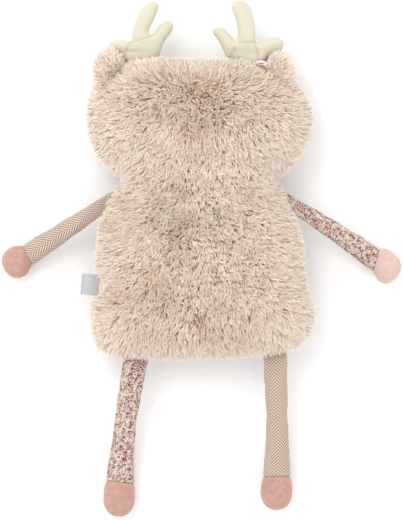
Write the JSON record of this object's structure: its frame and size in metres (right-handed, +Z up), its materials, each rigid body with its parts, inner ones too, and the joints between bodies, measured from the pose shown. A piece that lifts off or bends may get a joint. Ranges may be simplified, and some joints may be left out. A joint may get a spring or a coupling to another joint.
{
  "type": "plush deer",
  "caption": "Flat stuffed deer in long fur lying on its front, with slim cloth arms and legs, velour hands and feet, rounded ears and soft corduroy antlers.",
  "frame": {"origin": "middle of the toy's footprint on the surface that it lies on", "axes": "+X to the toy's right side as seen from behind, +Y from the feet towards the head, +Z up out of its back"},
  "size_m": [0.3836, 0.4962, 0.087],
  "materials": {
    "fur": "long shaggy pile",
    "stuffing": "loose fibre",
    "velour": "short plush pile",
    "herringbone": "woven herringbone",
    "floral": "printed cotton",
    "needlecord": "fine ribbed cord",
    "thread": "satin stitch",
    "satin": "satin ribbon",
    "label": "satin tape"
  },
  "bodies": {
    "torso": {"body_back_panel": "fur", "body_front_panel": "fur", "body_stuffing": "stuffing"},
    "head": {"head_back_panel": "fur", "head_front_panel": "fur", "head_stuffing": "stuffing", "left_eye": "thread", "right_eye": "thread", "nose": "velour", "ribbon_flower": "satin"},
    "left_ear": {"left_ear_back": "fur", "left_ear_lining": "velour"},
    "right_ear": {"right_ear_back": "fur", "right_ear_lining": "velour"},
    "left_antler": {"left_antler_back": "needlecord", "left_antler_front": "needlecord", "left_antler_stuffing": "stuffing"},
    "right_antler": {"right_antler_back": "needlecord", "right_antler_front": "needlecord", "right_antler_stuffing": "stuffing"},
    "left_arm": {"left_arm_sleeve": "herringbone", "left_arm_stuffing": "stuffing", "left_hand": "velour"},
    "right_arm": {"right_arm_sleeve": "floral", "right_arm_stuffing": "stuffing", "right_hand": "velour"},
    "left_leg": {"left_leg_sleeve": "floral", "left_leg_stuffing": "stuffing", "left_foot": "velour"},
    "right_leg": {"right_leg_sleeve": "herringbone", "right_leg_stuffing": "stuffing", "right_foot": "velour"},
    "label": {"care_label": "label"}
  },
  "joints": [
    {"name": "neck_seam", "type": "hinge", "parent": "torso", "child": "head", "pos_m": [0.00138, 0.0758, 0.04], "axis": [1, 0, 0], "range_deg": [-30, 30]},
    {"name": "left_shoulder_seam", "type": "hinge", "parent": "torso", "child": "left_arm", "pos_m": [-0.09334, 0.05183, 0.04], "axis": [0.3615, 0.9324, 0], "range_deg": [-40, 75]},
    {"name": "right_shoulder_seam", "type": "hinge", "parent": "torso", "child": "right_arm", "pos_m": [0.08835, 0.05108, 0.04], "axis": [0.4223, -0.9065, 0], "range_deg": [-40, 75]},
    {"name": "left_hip_seam", "type": "hinge", "parent": "torso", "child": "left_leg", "pos_m": [-0.06277, -0.09603, 0.04], "axis": [-0.9999, 0.0155, 0], "range_deg": [-40, 75]},
    {"name": "right_hip_seam", "type": "hinge", "parent": "torso", "child": "right_leg", "pos_m": [0.07018, -0.0922, 0.04], "axis": [-0.9892, -0.1463, 0], "range_deg": [-40, 75]},
    {"name": "left_ear_seam", "type": "hinge", "parent": "head", "child": "left_ear", "pos_m": [-0.08681, 0.18318, 0.04], "axis": [0.8667, 0.4987, 0], "range_deg": [0, 30], "stiffness_Nm_per_rad": 0.005},
    {"name": "right_ear_seam", "type": "hinge", "parent": "head", "child": "right_ear", "pos_m": [0.07149, 0.18196, 0.04], "axis": [0.9027, -0.4303, 0], "range_deg": [0, 30], "stiffness_Nm_per_rad": 0.005},
    {"name": "left_antler_seam", "type": "hinge", "parent": "head", "child": "left_antler", "pos_m": [-0.05707, 0.19362, 0.04], "axis": [0.9904, 0.138, 0], "range_deg": [-20, 0], "stiffness_Nm_per_rad": 0.03, "springref_deg": 1.15},
    {"name": "right_antler_seam", "type": "hinge", "parent": "head", "child": "right_antler", "pos_m": [0.04227, 0.19194, 0.04], "axis": [0.9666, -0.2561, 0], "range_deg": [-20, 0], "stiffness_Nm_per_rad": 0.03, "springref_deg": 1.15},
    {"name": "label_seam", "type": "hinge", "parent": "torso", "child": "label", "pos_m": [-0.10437, -0.02436, 0.04], "axis": [0.0885, 0.9961, 0], "range_deg": [-60, 60], "stiffness_Nm_per_rad": 0.0001}
  ]
}
